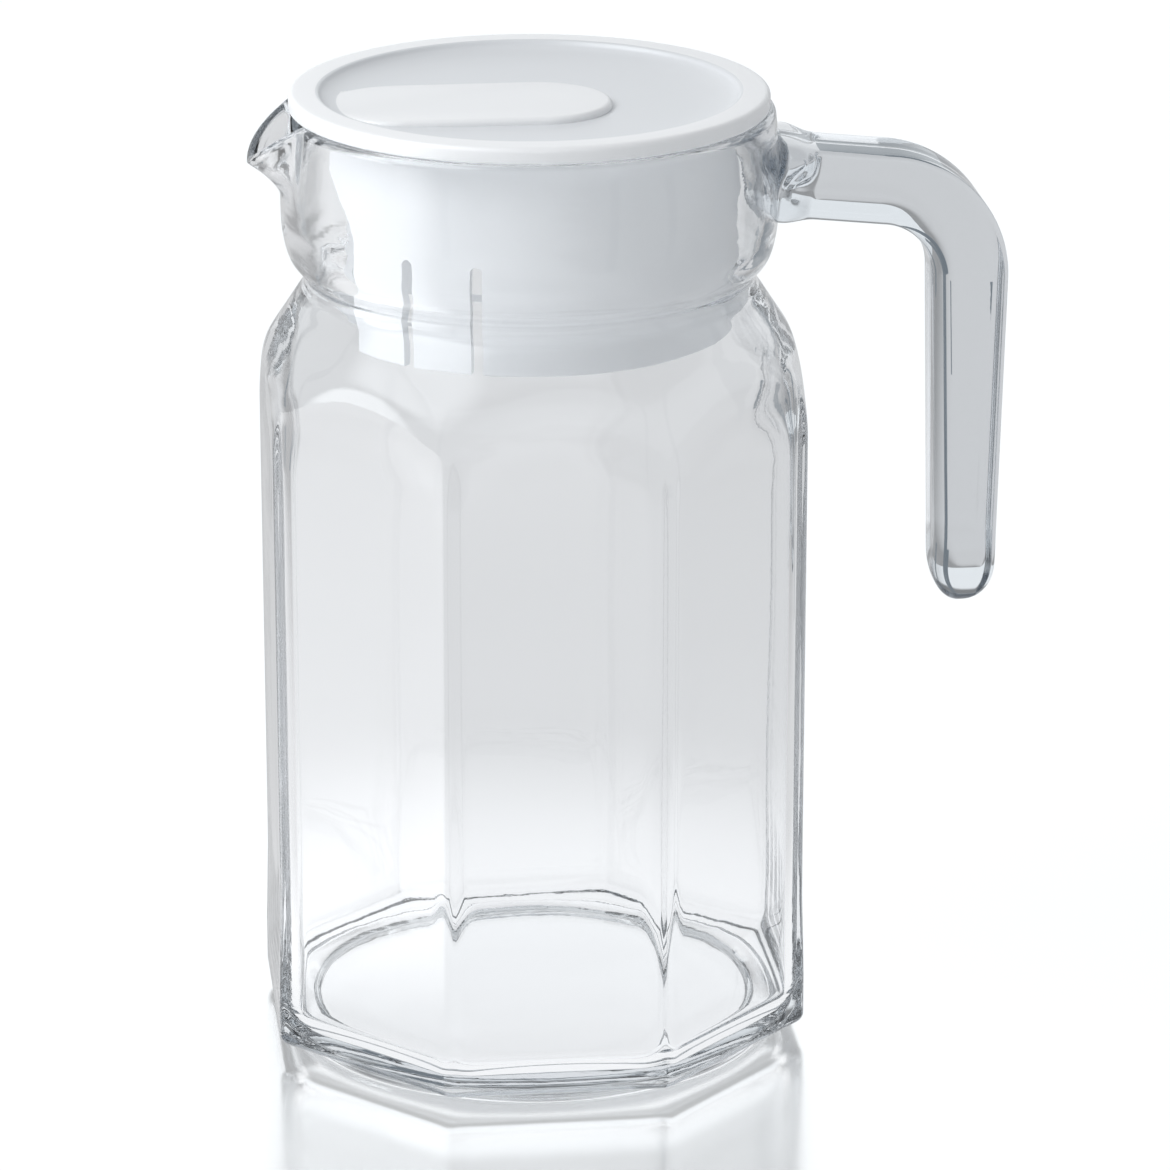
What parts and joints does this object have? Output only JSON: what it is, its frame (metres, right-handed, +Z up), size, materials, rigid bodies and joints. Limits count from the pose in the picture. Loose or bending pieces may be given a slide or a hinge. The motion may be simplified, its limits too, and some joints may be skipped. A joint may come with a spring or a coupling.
{
  "type": "glass pitcher with lid",
  "caption": "Octagonal clear glass jug with a short pulled spout, an applied open L-shaped glass handle and a push-in white plastic lid with a pouring gap.",
  "frame": {"origin": "centre of the round foot, on the jug's axis, at the level of the table", "axes": "+Z up along the jug's axis, +X towards the handle, -X towards the spout"},
  "size_m": [0.1426, 0.1, 0.1837],
  "materials": {
    "clear_glass": "fire polished",
    "clear_glass_handle": "fire polished",
    "white_plastic": "satin moulded"
  },
  "bodies": {
    "jug": {"glass_body": "clear_glass", "glass_handle": "clear_glass_handle"},
    "lid": {"lid": "white_plastic"}
  },
  "joints": [
    {"name": "lid_lift", "type": "slide", "parent": "jug", "child": "lid", "axis": [0, 0, 1], "range_m": [0, 0.06]}
  ]
}
